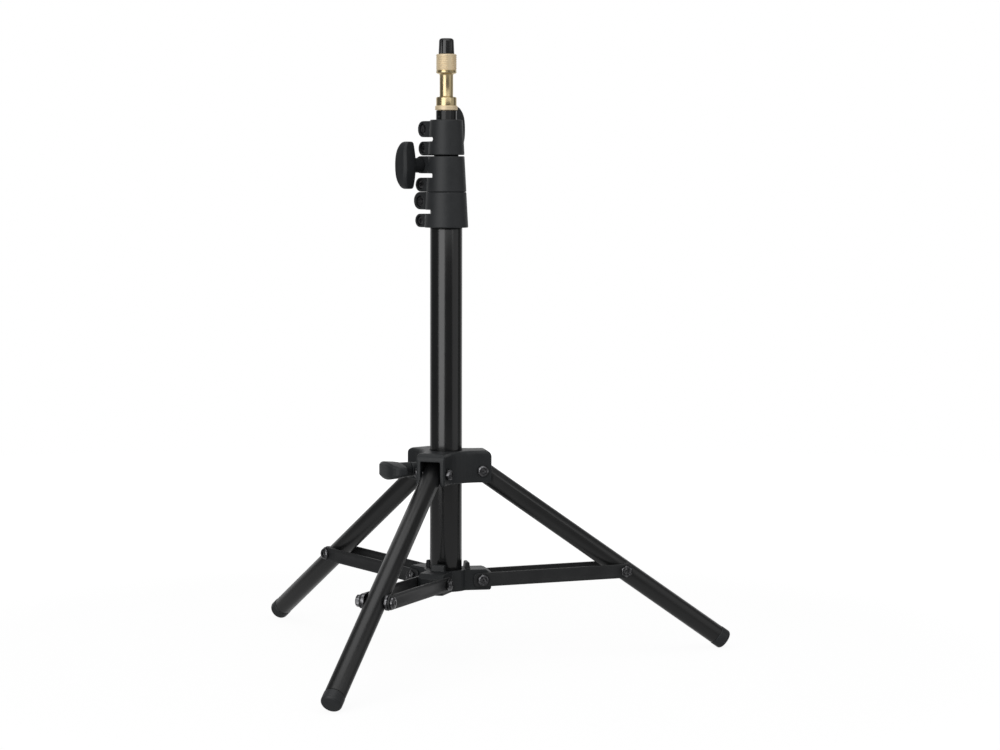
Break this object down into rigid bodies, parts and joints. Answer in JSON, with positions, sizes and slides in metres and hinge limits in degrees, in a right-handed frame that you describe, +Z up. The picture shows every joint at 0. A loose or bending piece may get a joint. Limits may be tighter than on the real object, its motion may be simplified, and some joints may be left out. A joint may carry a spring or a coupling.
{
  "type": "low light stand",
  "caption": "Low folding stand: tube legs on a sliding spider, a telescopic column with T-knob clamps, and a brass stud under a thread cap.",
  "frame": {"origin": "middle of the column foot's flat underside, which hangs clear of the ground between the legs", "axes": "+Z up along the column, +X out over leg 1"},
  "size_m": [0.3504, 0.4022, 0.4825],
  "materials": {
    "black_tube": "satin black",
    "black_plastic": "matte black",
    "cast_black": "matte black",
    "dark_steel": "blackened steel",
    "brass": "satin brass",
    "nylon": "matte dark grey"
  },
  "bodies": {
    "column": {"column_tube": "black_tube", "column_plug": "black_plastic", "foot_screw": "dark_steel", "lower_spider": "cast_black", "base_clamp": "black_plastic", "base_clamp_bolt": "dark_steel", "base_knob_nut": "dark_steel", "strut_1_pivot_bolt": "dark_steel", "strut_2_pivot_bolt": "dark_steel", "strut_3_pivot_bolt": "dark_steel"},
    "base_knob": {"base_knob": "black_plastic", "base_knob_screw": "dark_steel"},
    "riser_1_guide": {"riser_1_guide": "nylon"},
    "riser_1": {"riser_1_tube": "black_tube", "middle_clamp": "black_plastic", "middle_clamp_bolt": "dark_steel", "middle_knob_nut": "dark_steel"},
    "middle_knob": {"middle_knob": "black_plastic", "middle_knob_screw": "dark_steel"},
    "riser_2_guide": {"riser_2_guide": "nylon"},
    "riser_2": {"riser_2_tube": "black_tube", "top_clamp": "black_plastic", "top_clamp_bolt": "dark_steel", "top_knob_nut": "dark_steel"},
    "top_knob": {"top_knob": "black_plastic", "top_knob_screw": "dark_steel"},
    "riser_3_guide": {"riser_3_guide": "nylon"},
    "riser_3": {"riser_3_tube": "black_tube", "stud": "brass", "stud_pin": "dark_steel"},
    "thread_cap": {"thread_cap": "black_plastic"},
    "upper_spider": {"upper_spider": "cast_black", "brake_pad": "nylon", "leg_1_pivot_bolt": "dark_steel", "leg_2_pivot_bolt": "dark_steel", "leg_3_pivot_bolt": "dark_steel"},
    "spider_knob": {"spider_knob": "black_plastic", "spider_knob_screw": "dark_steel"},
    "leg_1": {"leg_1_tube": "black_tube", "leg_1_foot": "black_plastic", "leg_1_top_plug": "black_plastic"},
    "strut_1": {"strut_1_left_bar": "cast_black", "strut_1_right_bar": "cast_black", "strut_1_joint_bolt": "dark_steel", "strut_1_joint_nut": "dark_steel"},
    "leg_2": {"leg_2_tube": "black_tube", "leg_2_foot": "black_plastic", "leg_2_top_plug": "black_plastic"},
    "strut_2": {"strut_2_left_bar": "cast_black", "strut_2_right_bar": "cast_black", "strut_2_joint_bolt": "dark_steel", "strut_2_joint_nut": "dark_steel"},
    "leg_3": {"leg_3_tube": "black_tube", "leg_3_foot": "black_plastic", "leg_3_top_plug": "black_plastic"},
    "strut_3": {"strut_3_left_bar": "cast_black", "strut_3_right_bar": "cast_black", "strut_3_joint_bolt": "dark_steel", "strut_3_joint_nut": "dark_steel"}
  },
  "joints": [
    {"name": "base_knob_turn", "type": "hinge", "parent": "column", "child": "base_knob", "pos_m": [-0.01225, 0.01816, 0.30365], "axis": [0.829, 0.5592, 0], "continuous": true},
    {"name": "riser_1_slide", "type": "slide", "parent": "column", "child": "riser_1_guide", "axis": [0, 0, 1], "range_m": [0, 0.22]},
    {"name": "riser_1_swivel", "type": "hinge", "parent": "riser_1_guide", "child": "riser_1", "pos_m": [0, 0, 0.31167], "axis": [0, 0, 1], "range_deg": [-10, 235]},
    {"name": "middle_knob_turn", "type": "hinge", "parent": "riser_1", "child": "middle_knob", "pos_m": [-0.01191, 0.01766, 0.33172], "axis": [-0.829, -0.5592, 0], "continuous": true},
    {"name": "riser_2_slide", "type": "slide", "parent": "riser_1", "child": "riser_2_guide", "axis": [0, 0, 1], "range_m": [0, 0.22]},
    {"name": "riser_2_swivel", "type": "hinge", "parent": "riser_2_guide", "child": "riser_2", "pos_m": [0, 0, 0.33974], "axis": [0, 0, 1], "range_deg": [-215, 25]},
    {"name": "top_knob_turn", "type": "hinge", "parent": "riser_2", "child": "top_knob", "pos_m": [-0.0094, 0.01844, 0.35979], "axis": [0.891, 0.454, 0], "continuous": true},
    {"name": "riser_3_slide", "type": "slide", "parent": "riser_2", "child": "riser_3_guide", "axis": [0, 0, 1], "range_m": [0, 0.22]},
    {"name": "riser_3_swivel", "type": "hinge", "parent": "riser_3_guide", "child": "riser_3", "pos_m": [0, 0, 0.3743], "axis": [0, 0, 1], "continuous": true},
    {"name": "thread_cap_lift", "type": "slide", "parent": "riser_3", "child": "thread_cap", "axis": [0, 0, 1], "range_m": [0, 0.02]},
    {"name": "spider_slide", "type": "slide", "parent": "column", "child": "upper_spider", "axis": [0, 0, 1], "range_m": [0, 0.16914]},
    {"name": "spider_knob_turn", "type": "hinge", "parent": "upper_spider", "child": "spider_knob", "pos_m": [-0.02936, -0.00787, 0.0962], "axis": [-0.9659, -0.2588, 0], "continuous": true},
    {"name": "leg_1_fold", "type": "hinge", "parent": "upper_spider", "child": "leg_1", "pos_m": [0.0273, 0, 0.0942], "axis": [0, 1, 0], "range_deg": [0, 50.12]},
    {"name": "strut_1_fold", "type": "hinge", "parent": "column", "child": "strut_1", "pos_m": [0.0276, 0, 0.00855], "axis": [0, -1, 0], "range_deg": [0, 82.62]},
    {"name": "leg_2_fold", "type": "hinge", "parent": "upper_spider", "child": "leg_2", "pos_m": [-0.01365, 0.02364, 0.0942], "axis": [-0.866, -0.5, 0], "range_deg": [0, 50.12]},
    {"name": "strut_2_fold", "type": "hinge", "parent": "column", "child": "strut_2", "pos_m": [-0.0138, 0.0239, 0.00855], "axis": [0.866, 0.5, 0], "range_deg": [0, 82.62]},
    {"name": "leg_3_fold", "type": "hinge", "parent": "upper_spider", "child": "leg_3", "pos_m": [-0.01365, -0.02364, 0.0942], "axis": [0.866, -0.5, 0], "range_deg": [0, 50.12]},
    {"name": "strut_3_fold", "type": "hinge", "parent": "column", "child": "strut_3", "pos_m": [-0.0138, -0.0239, 0.00855], "axis": [-0.866, 0.5, 0], "range_deg": [0, 82.62]}
  ],
  "couplings": [
    {"joint": "leg_1_fold", "follows": "spider_slide", "rad_per_m": 5.1718},
    {"joint": "strut_1_fold", "follows": "spider_slide", "rad_per_m": 8.5248},
    {"joint": "leg_2_fold", "follows": "spider_slide", "rad_per_m": 5.1718},
    {"joint": "strut_2_fold", "follows": "spider_slide", "rad_per_m": 8.5248},
    {"joint": "leg_3_fold", "follows": "spider_slide", "rad_per_m": 5.1718},
    {"joint": "strut_3_fold", "follows": "spider_slide", "rad_per_m": 8.5248}
  ]
}
